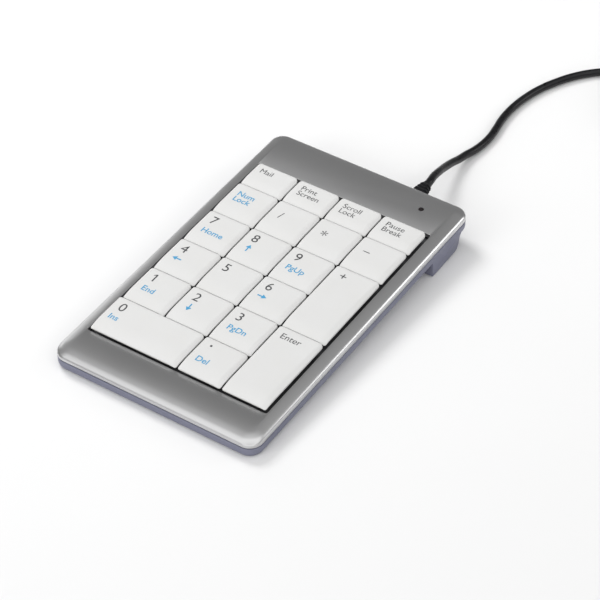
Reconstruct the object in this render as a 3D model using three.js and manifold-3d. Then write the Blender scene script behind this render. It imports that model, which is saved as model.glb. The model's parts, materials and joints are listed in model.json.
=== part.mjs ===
// Low-profile numeric keypad on a USB cord, in millimetres.
// +Z is up and +Y is the rear. The origin is on the desk, under the middle of the housing.
// The housing is drawn flat in its own frame (z = 0 on the underside of the base tray), then
// leaned forward by TILT, because two rear feet lift its far edge.
import * as THREE from 'three';
import { mergeVertices } from 'three/addons/utils/BufferGeometryUtils.js';
import Module from 'manifold-3d';

const wasm = await Module();
wasm.setup();

// ---- Driving dimensions: housing ----
const TILT = THREE.MathUtils.degToRad(2.9);
const CASE = { width: 87.8, length: 146.8, corner: 5.5, wall: 1.8 };
const TRAY = { floor: 1.2, rim: 4.2, roundTo: 2, tongueTop: 5.2, tongue: 0.9 };
const COVER = { bottom: 4.5, lip: 5.9, ceiling: 6.1, top: 7.8 };
// The cover's crown above its upright lip: height, then how far in it lies from the side and rear
// edges, and from the front edge, where the cover slopes down towards the hand.
const CROWN = [
  [COVER.lip, 0, 0], [6.35, 0.15, 0.5], [6.6, 0.25, 1.1], [7.05, 0.8, 2.4],
  [7.3, 1.5, 3.6], [7.65, 3.3, 5.7], [COVER.top, 4.5, 8],
];
const FIT = 0.3;
const FOOT = { width: 14, front: 45.7, rear: 65.5, bottom: -5.7, wall: 1.5 };
const PAD = { radius: 4.5, proud: 0.6, recess: 0.7, frontY: -57, frontX: 34, rearY: 54.3, rearX: 36.2 };
const SCREW = { head: 2, seat: 3.6, shank: 0.8, headBottom: 0.2, headTop: 0.9, tip: 4.7, boss: 2.2 };
const CASE_SCREWS = [[-36, -67], [0, -67], [36, -67], [-36, 67.3], [-8, 67.3], [36, 67.3]];

// ---- Driving dimensions: keys ----
const PITCH = 19;
const GAP = { x: 0.9, y: 0.65 };
const FUNCTION_DEPTH = 14;
const GRID = { left: -38, front: -57.8, columns: 4, rows: 5 };
const OPENING = { left: 1.1, right: 0.7, front: 0.2, rear: 1.1, corner: 0.8 };
const TRAVEL = 2;
const PLUNGER = { outer: 4.4, inner: 3.4, bottom: 4.95, boss: 1.3, bossBottom: 5.3, barbTop: 5.4 };
const CHIMNEY = { outer: 5.5, bore: 4.75, top: 6, slotTop: 5.7, slotWidth: 1.8 };
// A pressed cap stops just above the chimney round its plunger.
const CAP = { bottom: CHIMNEY.top + FIT + TRAVEL, edge: 9.2, top: 9.8, corner: 1, frontRoll: 4.5, sideRoll: 1.4 };
// How far past the grid the wide 0 key goes on the left, and the right column on the right.
const REACH = { left: 0.5, right: 0.3 };
const ROUND = 10;

// ---- Driving dimensions: switch stack, from the tray floor up ----
const PLATE = { bottom: 1.5, top: 1.9, width: 79, front: -59.4, rear: 52.6 };
const MEMBRANE = { bottom: 2.2, top: 2.4, tailWidth: 22, tailX: -6, tailRear: 60.6 };
const DOME = { bottom: 2.7, top: 2.9, rise: 5, base: 3.3, crown: 1.6, skin: 0.3, sides: 8 };
const DECK = { bottom: 4.4, top: 5.2, width: 79.6, front: -60, rear: 52.8 };
const WIRE = { radius: 0.5, arm: 6, reach: 12, stub: 2.2, pivotZ: 5.2, halfSwing: 1, offset: 7.4 };

// ---- Driving dimensions: electronics and cord ----
const BOARD = { bottom: 1.1, top: 1.9, left: -19, right: 33.5, front: 55.2, rear: 65.2 };
const CLAMP = { bottom: 2.7, top: 4.2, y: 58.2, depth: 3.4, length: 32 };
const CLAMP_SCREWS = [MEMBRANE.tailX - 13.4, MEMBRANE.tailX + 13.4];
const LED = { x: 27.9, y: 63.1, radius: 1.05 };
const CORD = { radius: 1.6, sides: 8, exitX: 20.2, exitZ: 3.9 };
const GLAND = { width: 7.2, height: 4.2, proud: 6.5, ribs: 4 };
const COIL = { x: 74.9, y: 200.5, outer: 22.7, layers: 4, turns: 11.35 };

// The free cord, by hand: out of the gland, down to the desk and along it to the coil.
const LEAD = [
  [20.2, 80.4, 11.4], [20, 83, 11.5], [19.3, 86.6, 11], [18.6, 91.3, 9.8], [17.95, 95.7, 8.3],
  [17.45, 100.6, 6.7], [17.2, 105.7, 5.1], [17.35, 110.7, 3.6], [17.6, 115.9, 2.6], [18.4, 120.8, 2],
  [19.05, 126.6, 1.75], [19, 133.1, 1.7], [18.2, 139.1, 1.7], [17.2, 144.9, 1.7], [16.7, 151, 1.7],
  [16.8, 157.5, 1.7], [17.7, 165, 1.7], [19.6, 173.2, 1.7], [22.6, 181, 1.7], [26.4, 188.4, 1.7],
  [31.2, 195, 1.7], [36.8, 200.4, 1.7], [43.2, 205.2, 1.7], [51, 211, 1.7],
];
// From the top turn of the coil down to the plug that lies beside it.
const TAIL = [
  [97.6, 187.4, 9.7], [97.8, 180, 7.8], [98.2, 173, 6], [98.6, 166, 4.7], [98.8, 160, 4.1],
];
const PLUG = { x: 98.8, y: 159.7, grip: [15.5, 8, 32], shell: [12, 4.5, 12], lift: 4 };

// ---- Colours ----
const paint = (color, roughness, metalness = 0) => new THREE.MeshStandardMaterial({ color, roughness, metalness });
const SILVER = paint(0x8c8c8c, 0.42, 0.35);
const BLUE_GREY = paint(0x787b98, 0.5);
const WHITE = paint(0xe9e9e7, 0.5);
const BLACK = paint(0x141416, 0.45);
const DARK = paint(0x26262a, 0.6);
const STEEL = paint(0xb4b6b8, 0.35, 0.9);
const RUBBER = paint(0x2b2b2d, 0.85);
const FILM = paint(0xbfd0cf, 0.3);
const SILICONE = paint(0xd9d6cf, 0.7);
const BOARD_GREEN = paint(0x1d5a38, 0.5);
const LENS = paint(0x1a1210, 0.15);

// ---- Solids: joins and cuts ----
function toSolid(geometry) {
  const bare = geometry.index ? geometry.toNonIndexed() : geometry.clone();
  bare.deleteAttribute('normal');
  bare.deleteAttribute('uv');
  const merged = mergeVertices(bare, 1e-5);
  return new wasm.Manifold(new wasm.Mesh({
    numProp: 3,
    vertProperties: merged.attributes.position.array,
    triVerts: new Uint32Array(merged.index.array),
  }));
}

function toGeometry(solid) {
  const mesh = solid.getMesh();
  const geometry = new THREE.BufferGeometry();
  geometry.setAttribute('position', new THREE.BufferAttribute(Float32Array.from(mesh.vertProperties), 3));
  geometry.setIndex(new THREE.BufferAttribute(Uint32Array.from(mesh.triVerts), 1));
  return geometry;
}

const joined = (solids) => solids.reduce((sum, solid) => sum.add(solid));
const cut = (body, tools) => tools.reduce((left, tool) => left.subtract(tool), body);

// A box from its lowest corner to its highest corner.
function block(x0, x1, y0, y1, z0, z1) {
  const box = new THREE.BoxGeometry(x1 - x0, y1 - y0, z1 - z0);
  return toSolid(box.translate((x0 + x1) / 2, (y0 + y1) / 2, (z0 + z1) / 2));
}

// An upright cylinder at x, y between two heights.
function post(x, y, radius, z0, z1, sides = ROUND, topRadius = radius) {
  const drum = new THREE.CylinderGeometry(topRadius, radius, z1 - z0, sides);
  return toSolid(drum.rotateX(Math.PI / 2).translate(x, y, (z0 + z1) / 2));
}

// The corner points of a rounded rectangle, counter-clockwise from its right rear corner.
function roundedOutline(x0, x1, y0, y1, radius, steps) {
  const corners = [[x1, y1, 0], [x0, y1, 1], [x0, y0, 2], [x1, y0, 3]];
  return corners.flatMap(([x, y, quarter]) => Array.from({ length: steps + 1 }, (_, i) => {
    const angle = (quarter + i / steps) * Math.PI / 2;
    const inX = x + (x === x1 ? -radius : radius);
    const inY = y + (y === y1 ? -radius : radius);
    return [inX + radius * Math.cos(angle), inY + radius * Math.sin(angle)];
  }));
}

// A solid skinned over level rings that all have the same number of points, lowest ring first.
function skin(rings) {
  const count = rings[0].points.length;
  const position = rings.flatMap(({ points, z }) => points.flatMap(([x, y]) => [x, y, z]));
  const index = [];
  for (let level = 0; level + 1 < rings.length; level += 1) {
    for (let i = 0; i < count; i += 1) {
      const a = level * count + i;
      const b = level * count + (i + 1) % count;
      index.push(a, b, b + count, a, b + count, a + count);
    }
  }
  const last = (rings.length - 1) * count;
  for (let i = 1; i + 1 < count; i += 1) {
    index.push(0, i + 1, i);
    index.push(last, last + i, last + i + 1);
  }
  const geometry = new THREE.BufferGeometry();
  geometry.setAttribute('position', new THREE.Float32BufferAttribute(position, 3));
  geometry.setIndex(index);
  return toSolid(geometry);
}

// A plain upright slab with rounded corners.
function slab(x0, x1, y0, y1, z0, z1, radius, steps = 3) {
  const points = roundedOutline(x0, x1, y0, y1, radius, steps);
  return skin([{ points, z: z0 }, { points, z: z1 }]);
}

// The plan of the housing, pulled in by one distance at the sides and others at front and rear.
function casePlan(side, front = side, rear = side, steps = 4) {
  const halfWidth = CASE.width / 2 - side;
  const radius = Math.max(CASE.corner - side, 1);
  return roundedOutline(-halfWidth, halfWidth, -CASE.length / 2 + front, CASE.length / 2 - rear, radius, steps);
}

// A tube of even section along a smooth curve through the points.
function tube(points, radius, sides, steps) {
  const circle = new THREE.Shape(Array.from({ length: sides }, (_, i) => {
    const angle = i * 2 * Math.PI / sides;
    return new THREE.Vector2(radius * Math.cos(angle), radius * Math.sin(angle));
  }));
  const extrudePath = new THREE.CatmullRomCurve3(points.map((p) => new THREE.Vector3(...p)), false, 'centripetal');
  return toSolid(new THREE.ExtrudeGeometry(circle, { steps, extrudePath, bevelEnabled: false }));
}

// ---- Keys ----
// Each key: name, column, row, and how many columns and rows it spans. Row 5 is the shallow one.
const KEYS = [
  ['mail', 0, 5, 1, 1], ['print_screen', 1, 5, 1, 1], ['scroll_lock', 2, 5, 1, 1], ['pause', 3, 5, 1, 1],
  ['num_lock', 0, 4, 1, 1], ['divide', 1, 4, 1, 1], ['multiply', 2, 4, 1, 1], ['minus', 3, 4, 1, 1],
  ['7', 0, 3, 1, 1], ['8', 1, 3, 1, 1], ['9', 2, 3, 1, 1], ['plus', 3, 2, 1, 2],
  ['4', 0, 2, 1, 1], ['5', 1, 2, 1, 1], ['6', 2, 2, 1, 1],
  ['1', 0, 1, 1, 1], ['2', 1, 1, 1, 1], ['3', 2, 1, 1, 1], ['enter', 3, 0, 1, 2],
  ['0', 0, 0, 2, 1], ['decimal', 2, 0, 1, 1],
].map(([name, column, row, wide, deep]) => {
  const x0 = GRID.left + column * PITCH;
  const y0 = GRID.front + row * PITCH;
  const depth = row === GRID.rows ? FUNCTION_DEPTH : deep * PITCH;
  const box = {
    x0: x0 + GAP.x / 2 - (wide > 1 ? REACH.left : 0),
    x1: x0 + wide * PITCH - GAP.x / 2 + (column + wide === GRID.columns ? REACH.right : 0),
    y0: y0 + GAP.y / 2, y1: y0 + depth - GAP.y / 2,
  };
  return { name, wide, deep, ...box, x: x0 + wide * PITCH / 2, y: y0 + depth / 2 };
});
const KEY_FIELD = {
  x0: GRID.left - OPENING.left,
  x1: GRID.left + GRID.columns * PITCH + OPENING.right,
  y0: GRID.front - OPENING.front,
  y1: GRID.front + GRID.rows * PITCH + FUNCTION_DEPTH + OPENING.rear,
};
const isWide = (key) => key.wide > 1 || key.deep > 1;

// The place of a stabiliser point: `along` runs down the long key, `across` towards its bar.
const barPlace = (key, along, across) => (key.wide > 1 ? [key.x + along, key.y + across] : [key.x - across, key.y + along]);
function barBlock(key, along0, along1, across0, across1, z0, z1) {
  const [xa, ya] = barPlace(key, along0, across0);
  const [xb, yb] = barPlace(key, along1, across1);
  return block(Math.min(xa, xb), Math.max(xa, xb), Math.min(ya, yb), Math.max(ya, yb), z0, z1);
}
const PIVOT_ACROSS = WIRE.offset - WIRE.arm;
const LUG = { along: 7.5, width: 1.8, thick: 1.1, clear: 0.8 };

// A thin cap with a sloped front and softened sides, and a hollow plunger on its underside.
function keycap(key) {
  const outline = (side, front, rear) => roundedOutline(
    key.x0 + side, key.x1 - side, key.y0 + front, key.y1 - rear, CAP.corner, 1,
  );
  const plate = skin([
    { points: outline(0, 0, 0), z: CAP.bottom },
    { points: outline(0, 0, 0), z: CAP.edge - 0.15 },
    { points: outline(0.5, 1.2, 0.3), z: CAP.edge + 0.3 },
    { points: outline(CAP.sideRoll, CAP.frontRoll, 0.9), z: CAP.top },
  ]);
  const cup = cut(
    post(key.x, key.y, PLUNGER.outer, PLUNGER.bottom, CAP.bottom + 0.2),
    [post(key.x, key.y, PLUNGER.inner, PLUNGER.bottom - 1, CAP.bottom)],
  );
  const boss = post(key.x, key.y, PLUNGER.boss, PLUNGER.bossBottom, CAP.bottom + 0.2, 6);
  const barbs = [-1, 1].map((side) => block(
    key.x + side * PLUNGER.outer - 0.4, key.x + side * PLUNGER.outer + 0.4,
    key.y - 0.6, key.y + 0.6, PLUNGER.bottom, PLUNGER.barbTop,
  ));
  return joined([plate, cup, boss, ...barbs, ...(isWide(key) ? stabiliserLugs(key) : [])]);
}

// Two hooks under a long cap that hold its stabiliser bar from above.
function stabiliserLugs(key) {
  const barZ = WIRE.pivotZ + WIRE.halfSwing;
  return [-1, 1].map((side) => {
    const middle = side * LUG.along;
    const lug = barBlock(
      key, middle - LUG.width / 2, middle + LUG.width / 2,
      WIRE.offset - LUG.clear - LUG.thick, WIRE.offset + LUG.clear + LUG.thick * 0.4,
      barZ - LUG.clear - 0.3, CAP.bottom + 0.2,
    );
    const slot = barBlock(
      key, middle - LUG.width, middle + LUG.width,
      WIRE.offset - LUG.clear, WIRE.offset + LUG.clear + LUG.thick,
      barZ - LUG.clear, barZ + LUG.clear,
    );
    return lug.subtract(slot);
  });
}

// A bent wire: a long bar under the cap, an arm at each end, and stubs that turn in the deck.
function stabiliserBar(key) {
  const barZ = WIRE.pivotZ + WIRE.halfSwing;
  const lean = WIRE.halfSwing / WIRE.arm;
  const at = (along, back) => {
    const across = WIRE.offset - back;
    return [...barPlace(key, along, across), barZ - back * lean];
  };
  const bend = 1;
  const half = [
    at(WIRE.reach + WIRE.stub, WIRE.arm), at(WIRE.reach + bend, WIRE.arm), at(WIRE.reach, WIRE.arm - bend),
    at(WIRE.reach, bend), at(WIRE.reach - bend, 0),
  ];
  const otherHalf = [
    at(-WIRE.reach + bend, 0), at(-WIRE.reach, bend), at(-WIRE.reach, WIRE.arm - bend),
    at(-WIRE.reach - bend, WIRE.arm), at(-WIRE.reach - WIRE.stub, WIRE.arm),
  ];
  return tube([...half, ...otherHalf], WIRE.radius, 6, 20);
}

// ---- Deck that guides the keys ----
function chimney(key) {
  return post(key.x, key.y, CHIMNEY.outer, DECK.bottom, CHIMNEY.top);
}

function chimneyCuts(key) {
  const bore = post(key.x, key.y, CHIMNEY.bore, DECK.bottom - 1, CHIMNEY.top + 1);
  const slot = block(
    key.x - CHIMNEY.outer - 0.3, key.x + CHIMNEY.outer + 0.3,
    key.y - CHIMNEY.slotWidth / 2, key.y + CHIMNEY.slotWidth / 2,
    DECK.bottom - 1, CHIMNEY.slotTop,
  );
  return [bore, slot];
}

// Two open-topped clips on the deck for the stubs of a stabiliser bar.
function pivotClip(key, side) {
  const middle = side * (WIRE.reach + 1.7);
  return barBlock(key, middle - 0.6, middle + 0.6, PIVOT_ACROSS - 1.5, PIVOT_ACROSS + 1.5, DECK.bottom, 5.9);
}

function stabiliserCuts(key) {
  const barWindow = barBlock(
    key, -WIRE.reach - 1.2, WIRE.reach + 1.2, PIVOT_ACROSS + 3.6, WIRE.offset + 1.4, DECK.bottom - 1, DECK.top + 2,
  );
  const armWindows = [-1, 1].map((side) => barBlock(
    key, side * WIRE.reach - 1, side * WIRE.reach + 1, PIVOT_ACROSS - 1.4, WIRE.offset, DECK.bottom - 1, DECK.top + 2,
  ));
  const stubSlot = barBlock(
    key, -WIRE.reach - WIRE.stub - 0.5, WIRE.reach + WIRE.stub + 0.5,
    PIVOT_ACROSS - 0.85, PIVOT_ACROSS + 0.85, WIRE.pivotZ - 0.8, DECK.top + 2,
  );
  const kept = chimney(key).add(post(key.x, key.y, CHIMNEY.outer + 0.2, DECK.bottom - 2, CHIMNEY.top + 1));
  return [barWindow, ...armWindows, stubSlot.subtract(kept)];
}

function keyGuideFrame() {
  const long = KEYS.filter(isWide);
  const deck = slab(-DECK.width / 2, DECK.width / 2, DECK.front, DECK.rear, DECK.bottom, DECK.top, 1.5);
  const clips = long.flatMap((key) => [pivotClip(key, -1), pivotClip(key, 1)]);
  const solid = joined([deck, ...KEYS.map(chimney), ...clips]);
  return cut(solid, [...KEYS.flatMap(chimneyCuts), ...long.flatMap(stabiliserCuts)]);
}

// ---- Switch stack ----
function domeSheet() {
  const sheet = slab(-PLATE.width / 2, PLATE.width / 2, PLATE.front, PLATE.rear, DOME.bottom, DOME.top, 1.5);
  const domes = KEYS.map((key) => post(key.x, key.y, DOME.base, DOME.top - 0.1, DOME.rise, DOME.sides, DOME.crown));
  const hollows = KEYS.map((key) => post(
    key.x, key.y, DOME.base - DOME.skin + 0.15, DOME.bottom - 0.1, DOME.rise - DOME.skin, DOME.sides,
    DOME.crown - DOME.skin,
  ));
  return cut(joined([sheet, ...domes]), hollows);
}

function membraneCircuit() {
  const sheet = slab(-PLATE.width / 2, PLATE.width / 2, PLATE.front, PLATE.rear, MEMBRANE.bottom, MEMBRANE.top, 1.5);
  const tail = block(
    MEMBRANE.tailX - MEMBRANE.tailWidth / 2, MEMBRANE.tailX + MEMBRANE.tailWidth / 2,
    PLATE.rear - 1, MEMBRANE.tailRear, MEMBRANE.bottom, MEMBRANE.top,
  );
  return sheet.add(tail);
}

function supportPlate() {
  const plate = slab(-PLATE.width / 2, PLATE.width / 2, PLATE.front, PLATE.rear, PLATE.bottom, PLATE.top, 1.5);
  const holes = [-30, 0, 30].flatMap((x) => [-50, 44].map((y) => post(x, y, 1.5, PLATE.bottom - 1, PLATE.top + 1, 8)));
  return cut(plate, holes);
}

// ---- Housing ----
const GLAND_Y = CASE.length / 2;
// The opening for the cord's strain relief, half in the tray and half in the cover.
function glandNotch(clear) {
  return slab(
    CORD.exitX - GLAND.width / 2 - clear, CORD.exitX + GLAND.width / 2 + clear,
    GLAND_Y - 7.2, GLAND_Y + 1, CORD.exitZ - GLAND.height / 2 - clear, CORD.exitZ + GLAND.height / 2 + clear, 0.5, 1,
  );
}

// A rear corner foot, moulded with the tray: flat sole, upright front, rounded heel, hollow inside.
function foot(side) {
  const outerX = CASE.width / 2;
  const profile = new THREE.Shape();
  profile.moveTo(FOOT.front, TRAY.floor - 0.2);
  profile.lineTo(FOOT.front, FOOT.bottom);
  profile.lineTo(FOOT.rear - 3.2, FOOT.bottom);
  profile.lineTo(FOOT.rear - 1.6, FOOT.bottom + 0.7);
  profile.lineTo(FOOT.rear - 0.7, FOOT.bottom + 2.6);
  profile.lineTo(FOOT.rear, -0.6);
  profile.lineTo(FOOT.rear + 1.4, TRAY.floor - 0.2);
  const body = new THREE.ExtrudeGeometry(profile, { depth: FOOT.width, bevelEnabled: false });
  // The profile is drawn in the YZ plane and pushed along X.
  const turn = new THREE.Matrix4().makeBasis(
    new THREE.Vector3(0, 1, 0), new THREE.Vector3(0, 0, 1), new THREE.Vector3(1, 0, 0),
  );
  body.applyMatrix4(turn).translate(side > 0 ? outerX - FOOT.width : -outerX, 0, 0);
  const flank = side > 0 ? [outerX - 2.6, outerX] : [-outerX, -outerX + 2.6];
  return toSolid(body).add(block(...flank, FOOT.front, FOOT.rear, -1, TRAY.roundTo));
}

function footHollow(side) {
  const inner = [side * (CASE.width / 2 - FOOT.width + FOOT.wall), side * (CASE.width / 2 - FOOT.wall)];
  return block(
    Math.min(...inner), Math.max(...inner), FOOT.front + FOOT.wall, FOOT.rear - 4,
    FOOT.bottom + 2.2, TRAY.floor + 1,
  );
}

const PADS = [
  ['front_left', -PAD.frontX, PAD.frontY, 0], ['front_right', PAD.frontX, PAD.frontY, 0],
  ['rear_left', -PAD.rearX, PAD.rearY, FOOT.bottom], ['rear_right', PAD.rearX, PAD.rearY, FOOT.bottom],
].map(([name, x, y, seat]) => ({ name, x, y, seat }));

// The desk's height in the housing's frame, which falls towards the rear.
const deskAt = (y) => -PAD.proud - (y - PAD.frontY) * Math.tan(TILT);

// A round rubber pad set in a shallow recess, with its face trimmed level with the desk.
function footPad({ x, y, seat }) {
  const top = seat + PAD.recess - FIT;
  const drum = new THREE.CylinderGeometry(PAD.radius, PAD.radius, 1, 20).rotateX(Math.PI / 2);
  const place = drum.attributes.position;
  for (let i = 0; i < place.count; i += 1) {
    const py = y + place.getY(i);
    place.setXYZ(i, x + place.getX(i), py, place.getZ(i) > 0 ? top : deskAt(py));
  }
  return toSolid(drum);
}

function bottomCover() {
  const plans = [[0, 1.6], [0.5, 0.65], [1.2, 0.15], [TRAY.roundTo, 0], [TRAY.rim, 0]];
  const shell = skin(plans.map(([z, inset]) => ({ points: casePlan(inset), z })));
  const outerTongue = CASE.wall + FIT;
  const tongue = skin([TRAY.rim - 0.5, TRAY.tongueTop].map((z) => ({ points: casePlan(outerTongue), z })));
  const hollow = skin([TRAY.floor, TRAY.tongueTop + 1].map((z) => ({ points: casePlan(outerTongue + TRAY.tongue), z })));
  const screwSeats = CASE_SCREWS.map(([x, y]) => post(x, y, SCREW.seat, TRAY.floor - 0.5, 2.4));
  const screwCuts = CASE_SCREWS.flatMap(([x, y]) => [
    post(x, y, SCREW.head + FIT, -1, SCREW.headTop + FIT, 16), post(x, y, SCREW.shank + FIT, -1, 3),
  ]);
  const padRecesses = PADS.map(({ x, y, seat }) => post(x, y, PAD.radius + FIT, seat - 1, seat + PAD.recess, 20));
  const boardSeat = block(
    BOARD.left - FIT, BOARD.right + FIT, BOARD.front - FIT, BOARD.rear + FIT, BOARD.bottom - FIT, TRAY.floor + 1,
  );
  const solid = joined([shell, tongue, foot(-1), foot(1)]).subtract(hollow).add(joined(screwSeats));
  return cut(solid, [
    boardSeat, ...screwCuts, ...padRecesses, footHollow(-1), footHollow(1), glandNotch(FIT),
  ]);
}

function topCover() {
  const shell = skin([
    { points: casePlan(0), z: COVER.bottom },
    ...CROWN.map(([z, side, front]) => ({ points: casePlan(side, front), z })),
  ]);
  const hollow = skin([COVER.bottom - 1, COVER.ceiling].map((z) => ({ points: casePlan(CASE.wall), z })));
  const bosses = CASE_SCREWS.map(([x, y]) => post(x, y, SCREW.boss, 2.7, COVER.ceiling + 0.3));
  const pilots = CASE_SCREWS.map(([x, y]) => post(x, y, SCREW.shank + FIT, 2, SCREW.tip + FIT));
  const opening = slab(
    KEY_FIELD.x0, KEY_FIELD.x1, KEY_FIELD.y0, KEY_FIELD.y1, COVER.bottom - 1, COVER.top + 1, OPENING.corner,
  );
  const ledHole = post(LED.x, LED.y, LED.radius + FIT, COVER.bottom - 1, COVER.top + 1, 16);
  return cut(shell.subtract(hollow).add(joined(bosses)), [opening, ledHole, ...pilots, glandNotch(FIT)]);
}

function caseScrew([x, y]) {
  const head = post(x, y, SCREW.head, SCREW.headBottom, SCREW.headTop, 12);
  const shank = post(x, y, SCREW.shank, SCREW.headTop - 0.2, SCREW.tip, 8, SCREW.shank * 0.8);
  const recess = [0, 1].map((i) => block(
    x - (i ? 0.25 : 1.1), x + (i ? 0.25 : 1.1), y - (i ? 1.1 : 0.25), y + (i ? 1.1 : 0.25), -1, SCREW.headBottom + 0.4,
  ));
  return cut(head.add(shank), recess);
}

// ---- Electronics ----
function controllerBoard() {
  const board = block(BOARD.left, BOARD.right, BOARD.front, BOARD.rear, BOARD.bottom, BOARD.top);
  return cut(board, CLAMP_SCREWS.map((x) => post(x, CLAMP.y, 0.8, 0, 3, 8)));
}

function controllerChip() {
  const blob = post(16, 60.2, 3.4, BOARD.top + FIT, 3.3, 14, 1.6);
  return blob;
}

function membraneClampBar() {
  const bar = block(
    MEMBRANE.tailX - CLAMP.length / 2, MEMBRANE.tailX + CLAMP.length / 2,
    CLAMP.y - CLAMP.depth / 2, CLAMP.y + CLAMP.depth / 2, CLAMP.bottom, CLAMP.top,
  );
  return cut(bar, CLAMP_SCREWS.map((x) => post(x, CLAMP.y, 0.8, 2, 5, 8)));
}

function clampScrew(x) {
  return post(x, CLAMP.y, 1.3, CLAMP.top + FIT, 5.1, 10).add(post(x, CLAMP.y, 0.5, 1.2, 4.7, 8));
}

function cordHeader() {
  const shell = block(23.2, 31.2, 55.8, 60.4, BOARD.top + FIT, 4.6);
  return shell.subtract(block(24, 30.4, 57, 61, 2.9, 4.1));
}

function statusLed() {
  return post(LED.x, LED.y, 1, BOARD.top + FIT, 3.6, 12).add(post(LED.x, LED.y, 0.9, 3.5, 4.4, 12, 0.5));
}

function ledWindow() {
  const flange = post(LED.x, LED.y, LED.radius + 0.8, 4.7, COVER.ceiling - FIT, 16);
  return flange.add(post(LED.x, LED.y, LED.radius, 5, COVER.top, 16));
}

// ---- Cord ----
// Strain relief: a collar behind the wall, a neck through it and ribs behind the housing.
function strainRelief() {
  const ring = (grow, y0, y1) => {
    const halfWidth = GLAND.width / 2 + grow;
    const halfHeight = GLAND.height / 2 + grow;
    const points = roundedOutline(-halfWidth, halfWidth, -halfHeight, halfHeight, halfHeight * 0.8, 3);
    const solid = skin([{ points, z: 0 }, { points, z: y1 - y0 }]);
    return solid.rotate([-90, 0, 0]).translate([CORD.exitX, y0, CORD.exitZ]);
  };
  const ribPitch = GLAND.proud / GLAND.ribs;
  const ribs = Array.from({ length: GLAND.ribs }, (_, i) => ring(
    -0.25 * i, GLAND_Y + 0.3 + ribPitch * i, GLAND_Y + 0.3 + ribPitch * (i + 0.62),
  ));
  const core = ring(-1, GLAND_Y - 6.5, GLAND_Y + GLAND.proud);
  const collar = ring(0.1, GLAND_Y - 6.4, GLAND_Y - 5.3);
  const neck = ring(-0.3, GLAND_Y - 5.5, GLAND_Y + 0.6);
  return joined([core, collar, neck, ...ribs]);
}

// The cord's last stretch inside the housing, from the strain relief to the plug on the board.
function cordTailInside() {
  return tube([
    [CORD.exitX, GLAND_Y - 6.8, CORD.exitZ], [CORD.exitX + 0.4, 64.4, 3.6],
    [CORD.exitX + 3.4, 62.2, 3.5], [27, 61.3, 3.5], [27.2, 60.7, 3.5],
  ], 0.9, 6, 8);
}

// The outer shape of the coiled cord: one ring standing on the desk.
function cordCoil() {
  const inner = COIL.outer - 2 * CORD.radius * COIL.turns / COIL.layers - CORD.radius;
  const outer = COIL.outer + CORD.radius;
  const height = COIL.layers * 2 * CORD.radius;
  const section = [[inner, 0], [outer, 0], [outer, height], [inner, height], [inner, 0]];
  const lathe = new THREE.LatheGeometry(section.map(([r, z]) => new THREE.Vector2(r, z)), 28);
  return toSolid(lathe.rotateX(Math.PI / 2).translate(COIL.x, COIL.y, 0));
}

// A type-A plug lying flat, its mouth pointing along -Y away from the cord.
function plugGrip() {
  const [width, height, length] = PLUG.grip;
  const points = roundedOutline(-width / 2, width / 2, -height / 2, height / 2, 2.2, 3);
  const nose = points.map(([x, z]) => [x * 0.5, z * 0.62]);
  const taper = points.map(([x, z]) => [x * 0.8, z * 0.86]);
  const solid = skin([{ points: nose, z: 0 }, { points: taper, z: 5 }, { points, z: 10 }, { points, z: length }]);
  return solid.rotate([90, 0, 0]).translate([PLUG.x, PLUG.y, PLUG.lift]);
}

function plugShell() {
  const [width, height, length] = PLUG.shell;
  const mouth = PLUG.y - PLUG.grip[2] - FIT;
  const box = (grow, y0, y1) => block(
    PLUG.x - width / 2 + grow, PLUG.x + width / 2 - grow, y0, y1,
    PLUG.lift - height / 2 + grow, PLUG.lift + height / 2 - grow,
  );
  const windows = [-1, 1].map((side) => block(
    PLUG.x + side * 2.9 - 1.2, PLUG.x + side * 2.9 + 1.2, mouth - 6.5, mouth - 4, PLUG.lift, PLUG.lift + height,
  ));
  return cut(box(0, mouth - length, mouth), [box(0.4, mouth - length - 1, mouth - 0.6), ...windows]);
}

function plugTongue() {
  const [width, height, length] = PLUG.shell;
  const back = PLUG.y - PLUG.grip[2] - FIT - 0.6 - FIT;
  return block(
    PLUG.x - width / 2 + 0.7, PLUG.x + width / 2 - 0.7, back - length + 1.6, back,
    PLUG.lift - height / 2 + 0.7, PLUG.lift - 0.1,
  );
}

// ---- Assembly ----
const keypad = new THREE.Group();
keypad.rotation.x = TILT;
keypad.position.set(
  0, 3.5 * Math.sin(TILT), PAD.proud * Math.cos(TILT) - PAD.frontY * Math.sin(TILT),
);
const model = new THREE.Group();
model.add(keypad);

function add(group, name, solid, material) {
  const mesh = new THREE.Mesh(toGeometry(solid), material);
  mesh.name = name;
  group.add(mesh);
}

add(keypad, 'top_cover', topCover(), SILVER);
add(keypad, 'bottom_cover', bottomCover(), BLUE_GREY);
add(keypad, 'key_guide_frame', keyGuideFrame(), BLACK);
add(keypad, 'dome_sheet', domeSheet(), SILICONE);
add(keypad, 'membrane_circuit', membraneCircuit(), FILM);
add(keypad, 'support_plate', supportPlate(), STEEL);
add(keypad, 'controller_board', controllerBoard(), BOARD_GREEN);
add(keypad, 'controller_chip', controllerChip(), DARK);
add(keypad, 'membrane_clamp_bar', membraneClampBar(), DARK);
CLAMP_SCREWS.forEach((x, i) => add(keypad, `clamp_screw_${i + 1}`, clampScrew(x), STEEL));
add(keypad, 'cord_header', cordHeader(), WHITE);
add(keypad, 'status_led', statusLed(), FILM);
add(keypad, 'led_window', ledWindow(), LENS);
CASE_SCREWS.forEach((place, i) => add(keypad, `case_screw_${i + 1}`, caseScrew(place), STEEL));
PADS.forEach((pad) => add(keypad, `foot_pad_${pad.name}`, footPad(pad), RUBBER));
KEYS.forEach((key) => add(keypad, `key_${key.name}`, keycap(key), WHITE));
KEYS.filter(isWide).forEach((key) => add(keypad, `stabiliser_${key.name}`, stabiliserBar(key), STEEL));
add(keypad, 'cord_strain_relief', strainRelief(), BLACK);
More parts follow.
